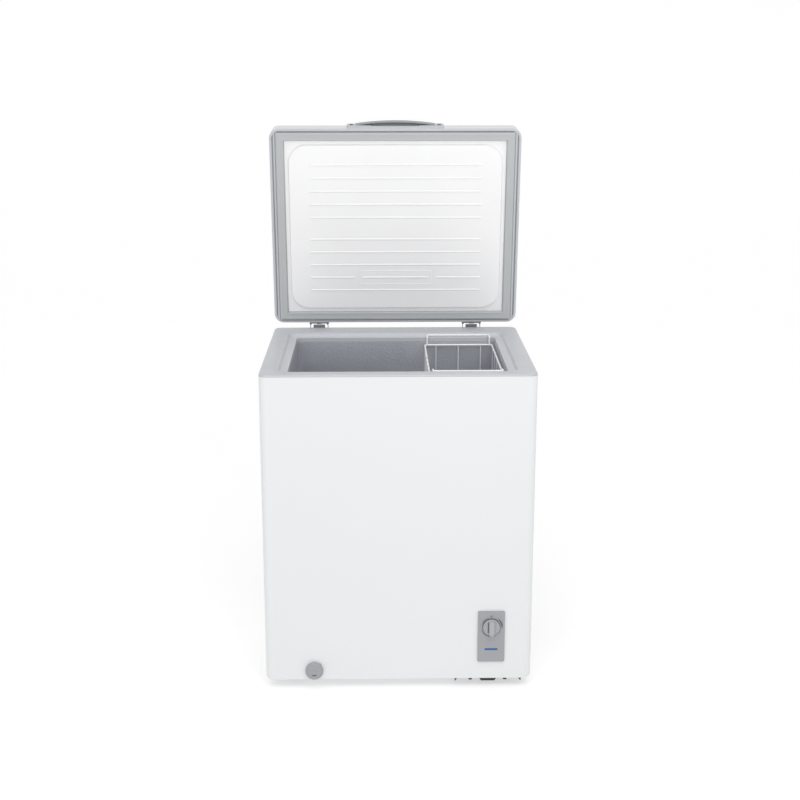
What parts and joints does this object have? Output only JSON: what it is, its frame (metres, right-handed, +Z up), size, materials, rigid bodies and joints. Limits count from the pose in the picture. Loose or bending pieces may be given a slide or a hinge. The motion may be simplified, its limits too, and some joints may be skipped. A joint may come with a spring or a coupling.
{
  "type": "chest freezer",
  "caption": "Small white chest freezer with its lid open: stepped aluminium liner, hanging wire basket, sprung hinges, front drain and control knob.",
  "frame": {"origin": "middle of the footprint of the whole part with its lid open, on the floor", "axes": "+Z up, -Y towards the front panel, +X to the right seen from the front"},
  "size_m": [0.626, 0.5906, 1.2944],
  "materials": {
    "white_steel": "gloss white paint",
    "grey_steel": "satin grey paint",
    "zinc_steel": "zinc plated",
    "black_steel": "satin black paint",
    "motor_iron": "raw",
    "foam": "rigid foam",
    "embossed_aluminium": "stucco embossed",
    "grey_plastic": "satin",
    "dark_grey_plastic": "satin",
    "black_plastic": "matt",
    "copper": "drawn copper",
    "black_rubber": "matt",
    "gasket_vinyl": "satin",
    "white_plastic": "satin",
    "blue_plastic": "clear blue",
    "green_board": "matt",
    "bright_steel": "polished",
    "white_wire": "white coated wire"
  },
  "bodies": {
    "cabinet": {"outer_wrap": "white_steel", "back_panel": "grey_steel", "base_pan": "zinc_steel", "insulation": "foam", "inner_liner": "embossed_aluminium", "top_collar": "grey_plastic", "evaporator_coil": "embossed_aluminium", "condenser_coil": "copper", "compartment_shroud": "zinc_steel", "compressor": "black_steel", "compressor_motor": "motor_iron", "compressor_tray": "zinc_steel", "compressor_grommets": "black_rubber", "compressor_bolts": "bright_steel", "terminal_cover": "black_plastic", "start_relay": "white_plastic", "filter_drier": "copper", "suction_tube": "copper", "discharge_tube": "copper", "rear_cover": "grey_steel", "rear_cover_screws": "bright_steel", "cord_gland": "black_plastic", "side_vent": "grey_plastic", "control_bezel": "dark_grey_plastic", "thermostat": "zinc_steel", "capillary": "copper", "indicator_lens": "blue_plastic", "lamp_board": "green_board", "drain_pipe": "grey_plastic", "drain_sleeve": "dark_grey_plastic", "feet": "black_plastic", "foot_screws": "bright_steel", "tray_skid": "black_steel", "hinge_base_left": "bright_steel", "hinge_base_right": "bright_steel", "hinge_pins": "bright_steel", "hinge_springs": "bright_steel", "hinge_screws": "bright_steel"},
    "lid": {"lid_shell": "white_steel", "lid_foam": "foam", "lid_liner": "white_plastic", "lid_frame": "grey_plastic", "lid_gasket": "gasket_vinyl", "handle_base": "grey_plastic", "handle_grip": "dark_grey_plastic", "handle_screws": "bright_steel", "hinge_leaf_left": "bright_steel", "hinge_leaf_right": "bright_steel", "leaf_screws": "bright_steel"},
    "knob": {"thermostat_knob": "grey_plastic", "thermostat_shaft": "zinc_steel"},
    "spout": {"drain_spout": "dark_grey_plastic"},
    "dial": {"drain_dial": "dark_grey_plastic"},
    "plug": {"floor_plug": "black_rubber"},
    "basket": {"basket_rim": "white_wire", "basket_side_grids": "white_wire", "basket_end_grids": "white_wire", "basket_floor_grid": "white_wire", "basket_hangers": "white_wire"}
  },
  "joints": [
    {"name": "lid_hinge", "type": "hinge", "parent": "cabinet", "child": "lid", "pos_m": [0, 0.22833, 0.775], "axis": [1, 0, 0], "range_deg": [0, 84], "stiffness_Nm_per_rad": 6.5},
    {"name": "knob_turn", "type": "hinge", "parent": "cabinet", "child": "knob", "pos_m": [0.217, -0.27367, 0.155], "axis": [0, 1, 0], "range_deg": [0, 300]},
    {"name": "spout_pull", "type": "slide", "parent": "cabinet", "child": "spout", "axis": [0, -1, 0], "range_m": [0, 0.015]},
    {"name": "dial_turn", "type": "hinge", "parent": "spout", "child": "dial", "pos_m": [-0.198, -0.27367, 0.046], "axis": [0, 1, 0], "range_deg": [0, 180]},
    {"name": "plug_lift", "type": "slide", "parent": "cabinet", "child": "plug", "axis": [0, 0, 1], "range_m": [0, 0.04]},
    {"name": "basket_slide", "type": "slide", "parent": "cabinet", "child": "basket", "axis": [1, 0, 0], "range_m": [-0.317, 0]}
  ]
}
